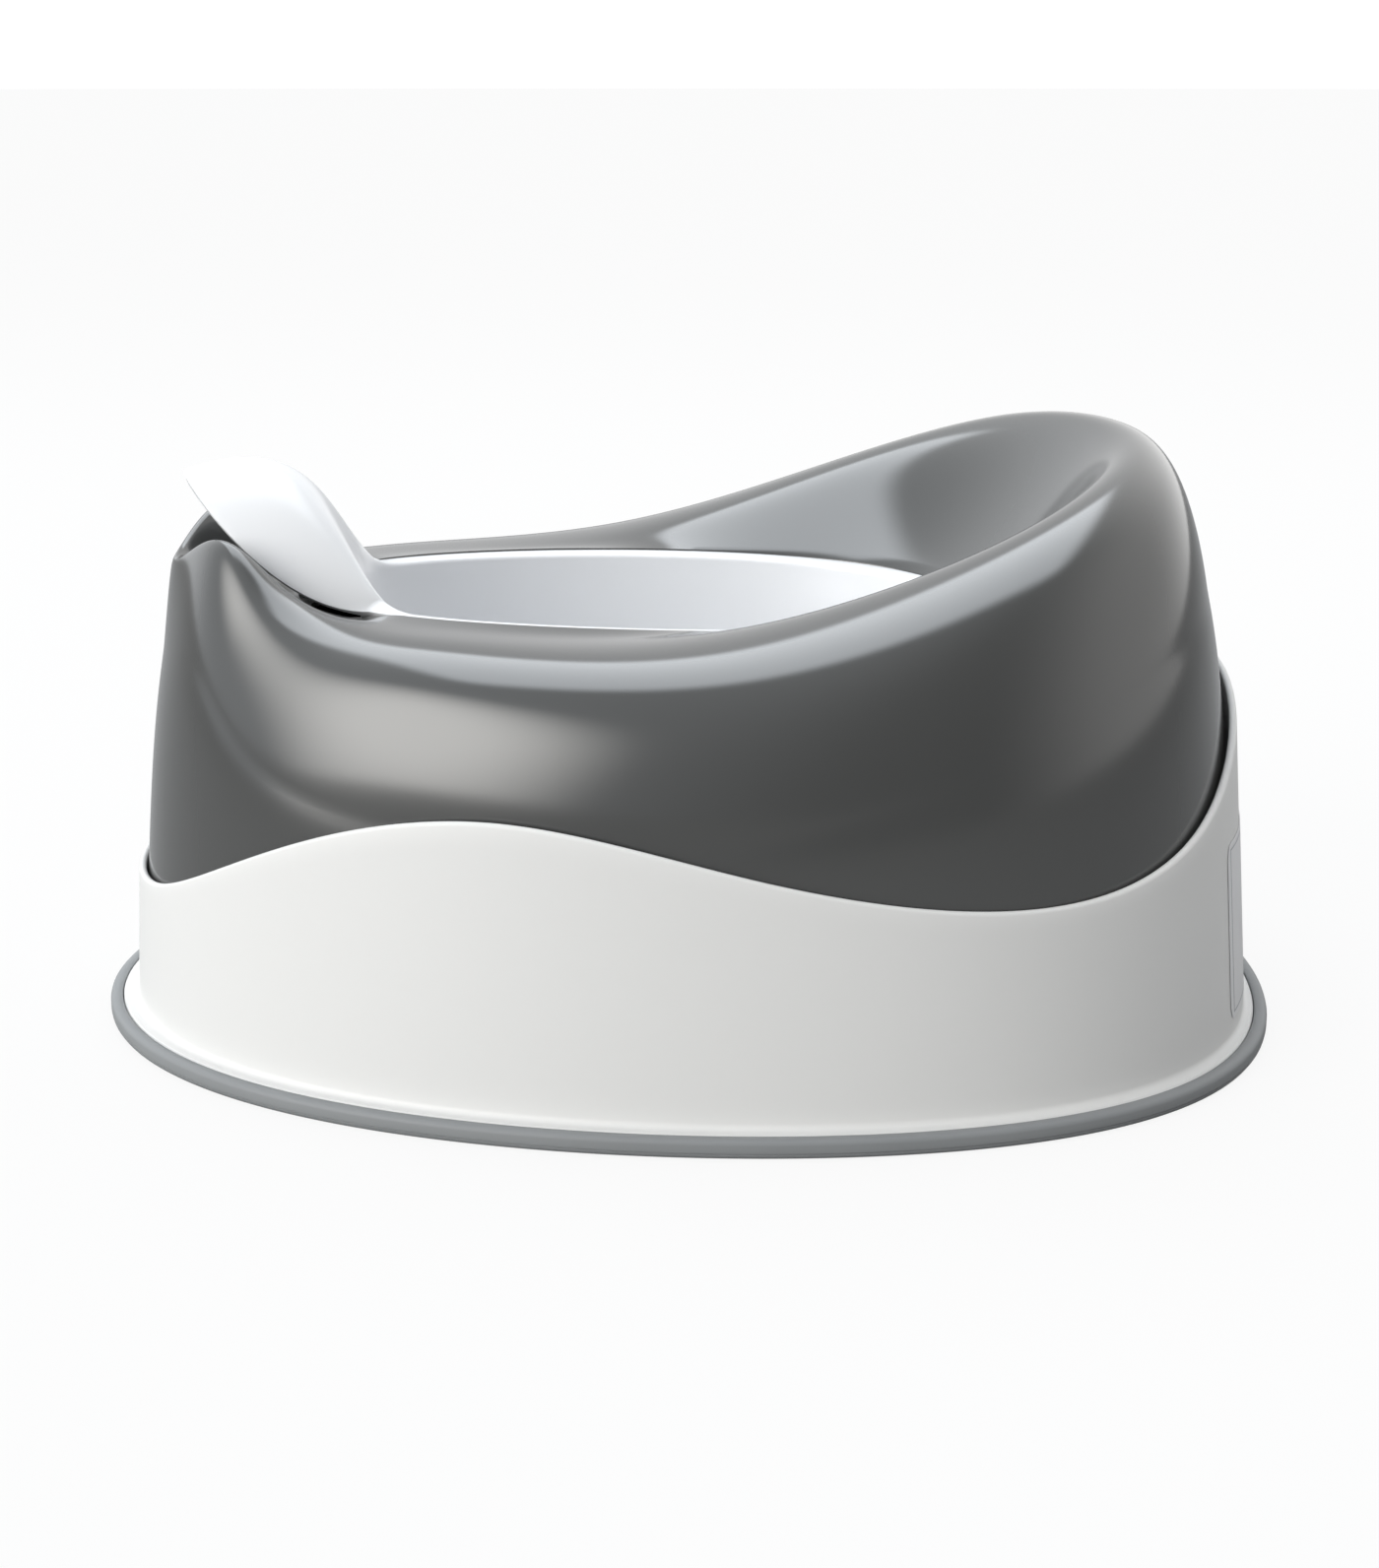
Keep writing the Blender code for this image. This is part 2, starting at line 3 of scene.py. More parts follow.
import bpy
import numpy as np
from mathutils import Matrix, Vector


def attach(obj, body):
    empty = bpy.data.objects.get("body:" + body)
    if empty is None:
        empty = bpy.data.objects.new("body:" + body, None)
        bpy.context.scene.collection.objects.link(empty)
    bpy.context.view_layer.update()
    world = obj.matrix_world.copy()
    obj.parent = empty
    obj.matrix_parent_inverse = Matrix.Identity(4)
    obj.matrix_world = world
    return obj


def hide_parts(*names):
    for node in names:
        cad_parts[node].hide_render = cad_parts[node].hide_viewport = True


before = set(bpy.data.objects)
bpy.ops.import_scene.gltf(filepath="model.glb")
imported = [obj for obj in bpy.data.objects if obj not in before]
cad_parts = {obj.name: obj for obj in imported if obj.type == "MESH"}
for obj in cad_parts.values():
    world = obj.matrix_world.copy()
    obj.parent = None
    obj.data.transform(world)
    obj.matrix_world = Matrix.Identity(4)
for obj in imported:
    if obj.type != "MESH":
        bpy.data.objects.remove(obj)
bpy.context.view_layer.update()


# ======================================================================================
# Grip rim: a soft grey rubber edge moulded round the chair's foot. It is what stands on
# the floor, and a fine parting line from its mould runs round it just above the ground.
# ======================================================================================
def outline(angle, inset):
    """The chair's egg-shaped outline moved in by inset; angle 0 is the rear."""
    fullness = 0.018
    x = (0.180 - inset) * (math.cos(angle) - fullness * math.cos(3 * angle))
    y = (0.152 - inset) * (math.sin(angle) + fullness * math.sin(3 * angle))
    return x / (1 - fullness), y / (1 - fullness) * (1 + 0.195 * math.cos(angle))


def select_only(piece):
    bpy.ops.object.select_all(action="DESELECT")
    piece.select_set(True)
    bpy.context.view_layer.objects.active = piece


def loft(name, columns, ring=True, tube=False):
    """A grid laid over columns of points: ring joins last to first, tube joins each end."""
    if tube:
        columns = [column + column[:1] for column in columns]
    if ring:
        columns = columns + columns[:1]
    across, along = len(columns), len(columns[0])
    bpy.ops.object.select_all(action="DESELECT")
    bpy.ops.mesh.primitive_grid_add(x_subdivisions=across - 1, y_subdivisions=along - 1, size=2)
    piece = bpy.context.object
    piece.name = piece.data.name = name
    places = np.array(columns, dtype=np.float64).transpose(1, 0, 2).reshape(-1)
    piece.data.vertices.foreach_set("co", places)
    bpy.ops.object.mode_set(mode="EDIT")
    bpy.ops.mesh.select_all(action="SELECT")
    bpy.ops.mesh.remove_doubles(threshold=0.000002)
    bpy.ops.object.mode_set(mode="OBJECT")
    return piece


def turn_outwards(piece, flip):
    """Makes all faces agree, then turns them over if flip(mesh) says they look inwards."""
    select_only(piece)
    bpy.ops.object.mode_set(mode="EDIT")
    bpy.ops.mesh.select_all(action="SELECT")
    bpy.ops.mesh.normals_make_consistent(inside=False)
    bpy.ops.object.mode_set(mode="OBJECT")
    if flip(piece.data):
        bpy.ops.object.mode_set(mode="EDIT")
        bpy.ops.mesh.flip_normals()
        bpy.ops.object.mode_set(mode="OBJECT")


def rear_looks_forward(mesh):
    rearmost = max(mesh.polygons, key=lambda face: face.center.x)
    return rearmost.normal.x < 0


def moulded_grain():
    """Fine mould texture shared by the plastics and the rubber: a height and a shade."""
    group = bpy.data.node_groups.new("moulded_grain", "ShaderNodeTree")
    for name, value in (("Grain Size", 1500.0), ("Cloud Size", 14.0)):
        socket = group.interface.new_socket(name, in_out="INPUT", socket_type="NodeSocketFloat")
        socket.default_value = value
    group.interface.new_socket("Height", in_out="OUTPUT", socket_type="NodeSocketFloat")
    group.interface.new_socket("Cloud", in_out="OUTPUT", socket_type="NodeSocketFloat")
    nodes, links = group.nodes, group.links
    given, result = nodes.new("NodeGroupInput"), nodes.new("NodeGroupOutput")
    place = nodes.new("ShaderNodeTexCoord")
    grain, cloud = nodes.new("ShaderNodeTexNoise"), nodes.new("ShaderNodeTexNoise")
    grain.inputs["Detail"].default_value = 2.0
    cloud.inputs["Detail"].default_value = 4.0
    for noise, name in ((grain, "Grain Size"), (cloud, "Cloud Size")):
        links.new(place.outputs["Object"], noise.inputs["Vector"])
        links.new(given.outputs[name], noise.inputs["Scale"])
    links.new(grain.outputs["Fac"], result.inputs["Height"])
    links.new(cloud.outputs["Fac"], result.inputs["Cloud"])
    return group


def finish_of(name, dark, light, smooth, rough, grain_size, cloud_size, grain_depth):
    """A moulded finish whose colour and roughness drift a little over the surface."""
    made = bpy.data.materials.new(name)
    made.use_nodes = True
    nodes, links = made.node_tree.nodes, made.node_tree.links
    shader = nodes["Principled BSDF"]
    texture = nodes.new("ShaderNodeGroup")
    texture.node_tree = bpy.data.node_groups.get("moulded_grain") or moulded_grain()
    texture.inputs["Grain Size"].default_value = grain_size
    texture.inputs["Cloud Size"].default_value = cloud_size
    tint, sheen = nodes.new("ShaderNodeMix"), nodes.new("ShaderNodeMapRange")
    tint.data_type = "RGBA"
    tint.inputs["A"].default_value = (*dark, 1)
    tint.inputs["B"].default_value = (*light, 1)
    sheen.inputs["To Min"].default_value = smooth
    sheen.inputs["To Max"].default_value = rough
    bump = nodes.new("ShaderNodeBump")
    bump.inputs["Distance"].default_value = grain_depth
    bump.inputs["Strength"].default_value = 0.5
    links.new(texture.outputs["Cloud"], tint.inputs["Factor"])
    links.new(texture.outputs["Cloud"], sheen.inputs["Value"])
    links.new(texture.outputs["Height"], bump.inputs["Height"])
    links.new(tint.outputs["Result"], shader.inputs["Base Color"])
    links.new(sheen.outputs["Result"], shader.inputs["Roughness"])
    links.new(bump.outputs["Normal"], shader.inputs["Normal"])
    return made


rim_high = 0.0055
rim_section = [(0.0120, 0.0), (0.0013, 0.0), (0.0006, 0.0003), (0.0002, 0.0009), (0.0001, 0.0013),
               (0.0004, 0.0015), (0.0004, 0.0017), (0.0, 0.0019), (0.0, 0.0040), (0.0002, 0.0047),
               (0.0007, 0.0052), (0.0014, rim_high), (0.0034, rim_high), (0.0037, 0.0052),
               (0.0037, 0.0018), (0.0120, 0.0018)]
around = [2 * math.pi * step / 360 for step in range(360)]
rim_columns = [[(*outline(turn, inset), high) for inset, high in rim_section] for turn in around]
rim = loft("rubber_rim", rim_columns, tube=True)
turn_outwards(rim, rear_looks_forward)
bpy.ops.object.shade_smooth_by_angle(angle=math.radians(50))
rim.data.materials.append(finish_of("grey_rubber", (0.205, 0.215, 0.222), (0.245, 0.255, 0.262),
                                    0.48, 0.62, 2600.0, 20.0, 0.00004))
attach(rim, "stand")
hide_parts("grip_rim")


# ======================================================================================
# Base skirt: a white satin moulding that carries the seat. Its top edge runs in a wave,
# its foot turns out into a flat flange, and a ledge inside takes the seat and screws.
# ======================================================================================
def wave(knots, angle):
    """A smooth even curve round the chair through {degrees from the rear: value}."""
    degrees = np.array(sorted(knots), dtype=float)
    values = np.array([knots[key] for key in sorted(knots)], dtype=float)
    gaps = np.diff(degrees)
    last = len(degrees) - 1
    system, slopes = np.eye(last + 1), np.zeros(last + 1)
    for row in range(1, last):
        before, after = gaps[row - 1], gaps[row]
        system[row, row - 1:row + 2] = 1 / before, 2 / before + 2 / after, 1 / after
        slopes[row] = 3 * ((values[row] - values[row - 1]) / before ** 2
                           + (values[row + 1] - values[row]) / after ** 2)
    slopes = np.linalg.solve(system, slopes)
    place = abs((math.degrees(angle) + 180) % 360 - 180)
    row = min(max(int(np.searchsorted(degrees, place)) - 1, 0), last - 1)
    width = gaps[row]
    part = (place - degrees[row]) / width
    rest = 1 - part
    return ((1 + 2 * part) * rest ** 2 * values[row] + part * rest ** 2 * width * slopes[row]
            + part ** 2 * (3 - 2 * part) * values[row + 1]
            - part ** 2 * rest * width * slopes[row + 1])


def skirt_lean(angle):
    return 0.052 + 0.020 * 0.5 * (1 + math.cos(angle))


def skirt_face(high, angle):
    """How far inside the chair's outline the skirt's outer face is at a height."""
    return 0.0084 - 0.0020 * 0.5 * (1 + math.cos(angle)) + skirt_lean(angle) * high


skirt_crest = {0: 0.1060, 20: 0.0975, 40: 0.0745, 62: 0.0625, 90: 0.0735, 113: 0.0872,
               140: 0.0700, 162: 0.0500, 180: 0.0465}
skirt_wall = 0.0022
ledge_high, ledge_low = 0.030, 0.0274


def skirt_column(angle):
    top = wave(skirt_crest, angle)
    points = [(0.0040, 0.0021), (0.0040, 0.0050), (0.0045, 0.0055)]
    foot = skirt_face(0.0073, angle)
    points.append((foot - 0.0024, 0.0055))
    for step in range(1, 5):
        turn = math.pi / 2 * step / 5
        points.append((foot - 0.0018 + 0.0018 * math.sin(turn),
                       0.0055 + 0.0018 * (1 - math.cos(turn))))
    for step in range(15):
        high = 0.0073 + (top - 0.0012 - 0.0073) * step / 14
        points.append((skirt_face(high, angle), high))
    for step in range(1, 8):
        turn = math.pi * step / 8
        points.append((skirt_face(top, angle) + skirt_wall / 2 * (1 - math.cos(turn)),
                       top - 0.0011 + 0.0011 * math.sin(turn)))
    for step in range(12):
        high = top - 0.0012 + (ledge_high - top + 0.0012) * step / 11
        points.append((skirt_face(high, angle) + skirt_wall, high))
    at_ledge = skirt_face(ledge_high, angle)
    points += [(at_ledge + 0.0157, ledge_high), (at_ledge + 0.0160, ledge_high - 0.0004),
               (at_ledge + 0.0160, ledge_low + 0.0004), (at_ledge + 0.0157, ledge_low),
               (at_ledge + skirt_wall, ledge_low),
               (skirt_face(0.0021, angle) + skirt_wall, 0.0021)]
    return [(*outline(angle, inset), high) for inset, high in points]


skirt = loft("skirt_moulding", [skirt_column(turn) for turn in around], tube=True)
turn_outwards(skirt, rear_looks_forward)
bpy.ops.object.shade_smooth_by_angle(angle=math.radians(40))
skirt.data.materials.append(finish_of("white_satin", (0.69, 0.69, 0.682),
                                      (0.72, 0.72, 0.713), 0.40, 0.50, 1900.0, 9.0, 0.00003))
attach(skirt, "stand")
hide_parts("base_skirt")


# ======================================================================================
# Base screws: zinc-plated pan heads with a cross recess. They come up through the
# skirt's ledge and cut their thread in the seat shell's bosses.
# ======================================================================================
def screw_spot(degrees):
    angle = math.radians(degrees)
    return outline(angle, skirt_face(ledge_high, angle) + skirt_wall + 0.0005 + 0.0025
                   + 0.5 * 0.0125)


def pan_head_screw(name, spot):
    """A turned shank and domed head, with a cross cut down into the head."""
    seat = 0.0271
    turned = [(0.0, 0.0104), (0.0014, 0.0104), (0.00175, 0.0097), (0.00175, 0.0), (0.0040, 0.0),
              (0.0040, -0.0010), (0.0036, -0.0017), (0.0027, -0.0022), (0.0, -0.0024)]
    columns = []
    for step in range(32):
        turn = 2 * math.pi * step / 32
        columns.append([(spot[0] + radius * math.cos(turn), spot[1] + radius * math.sin(turn),
                         seat + high) for radius, high in turned])
    screw = loft(name, columns)
    turn_outwards(screw, lambda mesh: max(mesh.polygons, key=lambda face: face.center.z)
                  .normal.z < 0)
    for length, width in ((0.0044, 0.0010), (0.0010, 0.0044)):
        bpy.ops.object.select_all(action="DESELECT")
        bpy.ops.mesh.primitive_cube_add(size=1, location=(*spot, seat - 0.0024))
        cutter = bpy.context.object
        bpy.ops.transform.resize(value=(length, width, 0.0026))
        bpy.ops.object.transform_apply(location=False, rotation=False, scale=True)
        select_only(screw)
        cut = screw.modifiers.new("cross", "BOOLEAN")
        cut.operation, cut.solver, cut.object = "DIFFERENCE", "EXACT", cutter
        bpy.ops.object.modifier_apply(modifier="cross")
        bpy.data.objects.remove(cutter, do_unlink=True)
    select_only(screw)
    bpy.ops.object.shade_smooth_by_angle(angle=math.radians(35))
    return screw


zinc = finish_of("zinc_plate", (0.50, 0.50, 0.52), (0.66, 0.66, 0.67), 0.26, 0.42, 3000.0, 260.0,
                 0.00002)
zinc.node_tree.nodes["Principled BSDF"].inputs["Metallic"].default_value = 1.0
for number, degrees in enumerate((38, 138, -138, -38), start=1):
    screw = pan_head_screw(f"ledge_screw_{number}", screw_spot(degrees))
    screw.data.materials.append(zinc)
    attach(screw, "stand")
    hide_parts(f"base_screw_{number}")


# ======================================================================================
# Seat shell: one high-gloss grey moulding. Its wall drops inside the skirt, and its top
# rolls over a brow into the seat; the brow rises to a backrest and to a nose in front.
# ======================================================================================
def opening(angle, inset=0.0):
    """The egg-shaped hole of the seat, moved in by inset."""
    fullness = 0.018
    x = (0.1047 - inset) * (math.cos(angle) - fullness * math.cos(3 * angle))
    y = (0.0669 - inset) * (math.sin(angle) + fullness * math.sin(3 * angle))
    return -0.013 + x / (1 - fullness), y / (1 - fullness) * (1 + 0.085 * math.cos(angle))


def seat_level(angle):
    return 0.1265 - 0.0045 * math.cos(angle) - 0.0005 * math.cos(2 * angle)


def seat_edge(angle):
    """The shell's edge: level with the seat, and cut lower under the splash guard."""
    place = abs((math.degrees(angle) + 180) % 360 - 180)
    part = min(max((place - 134) / 16, 0), 1)
    return seat_level(angle) - 0.0030 * part * part * (3 - 2 * part)


def steered(controls, count):
    """Even samples of a clamped cubic B-spline over its control points."""
    controls = np.array(controls, dtype=float)
    spans = len(controls) - 3
    knots = np.concatenate([np.zeros(3), np.arange(spans + 1), np.full(3, spans)])
    samples = []
    for place in np.linspace(0, spans, count):
        span = min(int(place), spans - 1) + 3
        work = [controls[span - 3 + k].copy() for k in range(4)]
        for level in range(1, 4):
            for k in range(3, level - 1, -1):
                low, high = knots[span - 3 + k], knots[span + 1 + k - level]
                blend = (place - low) / (high - low)
                work[k] = (1 - blend) * work[k - 1] + blend * work[k]
        samples.append(work[3])
    return samples


backrest_rise = {0: 1.00, 30: 0.88, 60: 0.46, 90: 0.04, 120: -0.01, 150: 0.0, 180: 0.0}
nose_rise = {0: 0.0, 90: 0.0, 125: 0.03, 140: 0.16, 150: 0.56, 158: 0.97, 166: 0.86, 173: 0.62,
             180: 0.53}
brow_place = {0: 0.36, 45: 0.40, 90: 0.46, 125: 0.46, 150: 0.43, 165: 0.30, 180: 0.20}
brow_width = {0: 0.15, 45: 0.20, 90: 0.32, 125: 0.30, 150: 0.16, 165: 0.045, 180: 0.02}
brow_depth = {0: 0.042, 45: 0.040, 90: 0.046, 125: 0.044, 150: 0.036, 165: 0.030, 180: 0.026}
wall_lean = {0: 0.07, 45: 0.03, 90: 0.01, 125: 0.03, 150: 0.07, 165: 0.12, 180: 0.15}
slope_fill = {0: 0.28, 110: 0.28, 145: -0.15, 160: -0.10, 180: 0.0}
shell_wall = 0.0025
hem_low = 0.0303


def shell_column(angle):
    """One section of the shell's outside, from its hem up, over the brow, to the ledge."""
    hem = hem_low + shell_wall / 2
    edge = seat_edge(angle)
    brow = 0.1265 + 0.048 * wave(backrest_rise, angle) + 0.024 * wave(nose_rise, angle)
    place, width = wave(brow_place, angle), wave(brow_width, angle)
    lean = wave(wall_lean, angle)
    shoulder = brow - wave(brow_depth, angle)
    slope = place + width + 0.45 * (1 - place - width)
    controls = [(0, hem), (0.10 * lean, hem + 0.62 * (shoulder - hem)), (0.70 * lean, shoulder),
                (place - width, brow + 0.002), (place + width, brow + 0.002),
                (slope, edge + wave(slope_fill, angle) * (brow - edge) - 0.0006), (1, edge)]
    wall = skirt_face(hem_low, angle) + skirt_wall + 0.0005
    points = [(*outline(angle, wall + 0.0125), hem_low), (*outline(angle, wall), hem_low)]
    for share, high in steered(controls, 72)[1:]:
        low_plan = outline(angle, wall + skirt_lean(angle) * (min(high, shoulder) - hem))
        high_plan = opening(angle)
        points.append(((1 - share) * low_plan[0] + share * high_plan[0],
                       (1 - share) * low_plan[1] + share * high_plan[1], high))
    points.append((*opening(angle, 0.0003), edge - 0.0006))
    points.append((*opening(angle, 0.0002), edge - 0.0042))
    points.append((*opening(angle, 0.0032), edge - 0.0045))
    return points


shell = loft("seat_moulding", [shell_column(turn) for turn in around])
turn_outwards(shell, rear_looks_forward)
wall = shell.modifiers.new("wall", "SOLIDIFY")
wall.thickness, wall.offset, wall.use_even_offset = shell_wall, -1.0, True
bpy.ops.object.modifier_apply(modifier="wall")
bpy.ops.object.shade_smooth_by_angle(angle=math.radians(40))
gloss = finish_of("grey_gloss", (0.050, 0.051, 0.050), (0.056, 0.057, 0.056), 0.12, 0.16,
                  700.0, 8.0, 0.000004)
gloss.node_tree.nodes["Principled BSDF"].inputs["IOR"].default_value = 1.8
shell.data.materials.append(gloss)
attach(shell, "stand")
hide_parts("seat_shell")


# ======================================================================================
# Inner pot: one glossy white moulding that lifts straight out of the seat. Its flange
# rests on the shell's ledge, and in front it rises into the splash guard over the nose.
# ======================================================================================
def pot_strip(inner, outer, swell, samples):
    """From the bowl's top over to the moulding's edge; swell is 1 on the guard's middle."""
    inner, outer = np.array(inner), np.array(outer)
    inward = (inner - outer) * (1, 1, 0)
    climb = inner + np.array([-0.0065 * swell, 0.0, 0.002 + 0.0230 * swell])
    crown = outer + (1 - swell) * 0.5 * inward + swell * np.array([0.0380, 0.0, 0.0125])
    return [(1 - part) ** 3 * inner + 3 * (1 - part) ** 2 * part * climb
            + 3 * (1 - part) * part ** 2 * crown + part ** 3 * outer for part in samples]


def bowl_column(top):
    """The bowl below a point of its rim: floor, round corner and drafted wall."""
    low, centre = 0.0264, np.array([-0.013, 0.0])
    spread = np.array(top[:2]) - centre
    size = float(np.linalg.norm(spread))
    heading = spread / size
    points = []
    for share in (0.02, 0.25, 0.5, 0.75):
        points.append((*(centre + heading * (size - 0.032) * share), low))
    for step in range(13):
        turn = math.pi / 2 * step / 12
        points.append((*(centre + heading * (size - 0.010 - 0.022 * (1 - math.sin(turn)))),
                       low + 0.022 * (1 - math.cos(turn))))
    for step in range(1, 14):
        share = step / 14
        points.append((*(centre + heading * (size - 0.010 * (1 - share))),
                       low + 0.022 + share * (top[2] - low - 0.022)))
    return points


def flared(strips, corners):
    """Rounds the corner where the guard's back meets the flange, but not their outer edge."""
    ring = np.concatenate([strips, strips[:1]])[:, 0]
    along = np.concatenate([[0], np.cumsum(np.linalg.norm(np.diff(ring, axis=0), axis=1))])
    whole, along = along[-1], along[:-1]
    steps = np.gradient(np.concatenate([along, [whole]]))[:-1]
    keep = np.linspace(0, 1, strips.shape[1])[:, None] ** 1.5
    out = strips.copy()
    widest, run_out, narrowest = 0.0085, 0.034, 0.0002
    for index, place in enumerate(along):
        near = min(abs((place - along[corner] + whole / 2) % whole - whole / 2)
                   for corner in corners)
        reach = widest * max(0, 1 - (near / run_out) ** 2) ** 2
        if reach > narrowest:
            apart = (along - place + whole / 2) % whole - whole / 2
            share = steps * np.exp(-(apart / reach) ** 2)
            mean = np.tensordot(share / share.sum(), strips, axes=1)
            out[index] = keep * strips[index] + (1 - keep) * mean
    return out


def pot_columns():
    flange, clearance = 0.0066, 0.0006
    join = math.pi - math.acos((0.096 - 0.013) / (0.1047 - clearance))
    start, root = opening(join, clearance), opening(join, clearance + flange)
    flange_columns, guard_columns, strips = 240, 97, []
    for step in range(flange_columns):
        angle = -join + 2 * join * step / flange_columns
        top = seat_level(angle) - 0.0004
        strip = pot_strip((*opening(angle, clearance + flange), top - 0.002),
                          (*opening(angle, clearance), top), 0.0, np.linspace(0, 1, 34))
        strips.append(strip)
    top = seat_level(join) - 0.0004
    for step in range(guard_columns):
        turn = math.pi * step / (guard_columns - 1)
        swell = math.sin(turn)
        inner = (root[0] - 0.0050 * swell, root[1] * math.cos(turn), top - 0.002)
        outer = (start[0] - (0.150 + start[0]) * swell, start[1] * math.cos(turn),
                 top + 0.0365 * swell ** 1.9)
        strips.append(pot_strip(inner, outer, swell, np.linspace(0, 1, 34)))
    corners = (0, flange_columns, flange_columns + guard_columns - 1)
    return [bowl_column(strip[0]) + list(strip) for strip in flared(np.array(strips), corners)]


pot = loft("lift_out_pot", pot_columns())
select_only(pot)
bpy.ops.object.mode_set(mode="EDIT")
bpy.ops.mesh.select_all(action="DESELECT")
bpy.ops.object.mode_set(mode="OBJECT")
hub = [vertex for vertex in pot.data.vertices
       if vertex.co.z < 0.0266 and (vertex.co.xy - Vector((-0.013, 0))).length < 0.0035]
for vertex in hub:
    vertex.select = True
bpy.ops.object.mode_set(mode="EDIT")
bpy.ops.mesh.edge_face_add()
bpy.ops.object.mode_set(mode="OBJECT")
turn_outwards(pot, lambda mesh: min(mesh.polygons, key=lambda face: face.center.z).normal.z < 0)
wall = pot.modifiers.new("wall", "SOLIDIFY")
wall.thickness, wall.offset, wall.use_even_offset = 0.0024, -1.0, True
bpy.ops.object.modifier_apply(modifier="wall")
soften = pot.modifiers.new("soften", "BEVEL")
soften.width, soften.segments, soften.limit_method = 0.0009, 3, "ANGLE"
soften.angle_limit = math.radians(50)
bpy.ops.object.modifier_apply(modifier="soften")
bpy.ops.object.shade_smooth_by_angle(angle=math.radians(40))
pot.data.materials.append(finish_of("white_gloss", (0.74, 0.748, 0.765), (0.76, 0.768, 0.782),
                                    0.20, 0.28, 900.0, 10.0, 0.000008))
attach(pot, "pot")
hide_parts("inner_pot")


# ======================================================================================
# Rear label: thin printed film with round corners, stuck to one side of the skirt's
# rear. It is left blank but for a fine grey border.
# ======================================================================================
label_from, label_to = -33.5, -4.0
label_low, label_high = 0.011, 0.064


def label_point(across, up, proud):
    angle = math.radians(label_from + (label_to - label_from) * across)
    high = label_low + (label_high - label_low) * up
    return (*outline(angle, skirt_face(high, angle) - proud), high)


label_columns = []
for step in range(49):
    across = step / 48
    from_side = min(across, 1 - across) * 0.086
    corner = 0.004
    trim = 0.0
    if from_side < corner:
        trim = corner - math.sqrt(max(corner ** 2 - (corner - from_side) ** 2, 0))
    trim /= label_high - label_low
    label_columns.append([label_point(across, trim + (1 - 2 * trim) * row / 24, 0.0003)
                          for row in range(25)])
label = loft("rear_film_label", label_columns, ring=False)
turn_outwards(label, rear_looks_forward)
wall = label.modifiers.new("wall", "SOLIDIFY")
wall.thickness, wall.offset = 0.0002, -1.0
bpy.ops.object.modifier_apply(modifier="wall")
bpy.ops.object.shade_smooth_by_angle(angle=math.radians(40))
film = finish_of("label_film", (0.73, 0.73, 0.74), (0.76, 0.76, 0.77), 0.30, 0.36,
                 1500.0, 30.0, 0.00001)
label.data.materials.append(film)
nodes, links = film.node_tree.nodes, film.node_tree.links


def sum_of(operation, first, second):
    """A Math node; each input is a socket or a number."""
    made = nodes.new("ShaderNodeMath")
    made.operation = operation
    for socket, given in zip(made.inputs, (first, second)):
        if isinstance(given, (int, float)):
            socket.default_value = given
        else:
            links.new(given, socket)
    return made.outputs["Value"]


place, spread = nodes.new("ShaderNodeTexCoord"), nodes.new("ShaderNodeSeparateXYZ")
links.new(place.outputs["Object"], spread.inputs["Vector"])
heading = sum_of("ARCTAN2", spread.outputs["Y"], spread.outputs["X"])
middle = math.radians((label_from + label_to) / 2)
from_middle = sum_of("ABSOLUTE", sum_of("SUBTRACT", heading, middle), 0.0)
sideways = sum_of("MULTIPLY", from_middle, 2 / math.radians(label_to - label_from))
from_level = sum_of("SUBTRACT", spread.outputs["Z"], (label_low + label_high) / 2)
upward = sum_of("MULTIPLY", sum_of("ABSOLUTE", from_level, 0.0), 2 / (label_high - label_low))
outward = sum_of("MAXIMUM", sideways, upward)
border_inside, border_outside = 0.915, 0.935
border = sum_of("MULTIPLY", sum_of("GREATER_THAN", outward, border_inside),
                sum_of("LESS_THAN", outward, border_outside))
ink = nodes.new("ShaderNodeMix")
ink.data_type = "RGBA"
ink.inputs["B"].default_value = (0.36, 0.37, 0.39, 1)
shader = nodes["Principled BSDF"]
links.new(shader.inputs["Base Color"].links[0].from_socket, ink.inputs["A"])
links.new(border, ink.inputs["Factor"])
links.new(ink.outputs["Result"], shader.inputs["Base Color"])
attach(label, "stand")
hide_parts("rear_label")


# ======================================================================================
# Studio: a plain white floor that fades into white, one broad softbox overhead, and
# soft glows round the room: a warm one in front on the left, cooler ones elsewhere.
# ======================================================================================
bpy.ops.object.select_all(action="DESELECT")
bpy.ops.mesh.primitive_circle_add(vertices=128, radius=30, fill_type="NGON",
                                  location=(0, 0, -0.0002))
floor = bpy.context.object
floor.name = "studio_floor"
floor_finish = bpy.data.materials.new("studio_white")
floor_finish.use_nodes = True
nodes, links = floor_finish.node_tree.nodes, floor_finish.node_tree.links
floor_shader = nodes["Principled BSDF"]
floor_shader.inputs["Base Color"].default_value = (0.30, 0.30, 0.30, 1)
floor_shader.inputs["Roughness"].default_value = 0.9
floor_shader.inputs["Specular IOR Level"].default_value = 0.0
paper, eye = nodes.new("ShaderNodeEmission"), nodes.new("ShaderNodeLightPath")
paper.inputs["Strength"].default_value = 1.12
share, blend = nodes.new("ShaderNodeMath"), nodes.new("ShaderNodeMixShader")
share.operation = "MULTIPLY"
share.inputs[1].default_value = 0.80
links.new(eye.outputs["Is Camera Ray"], share.inputs[0])
links.new(share.outputs["Value"], blend.inputs["Fac"])
links.new(floor_shader.outputs["BSDF"], blend.inputs[1])
links.new(paper.outputs["Emission"], blend.inputs[2])
links.new(blend.outputs["Shader"], nodes["Material Output"].inputs["Surface"])
floor.data.materials.append(floor_finish)

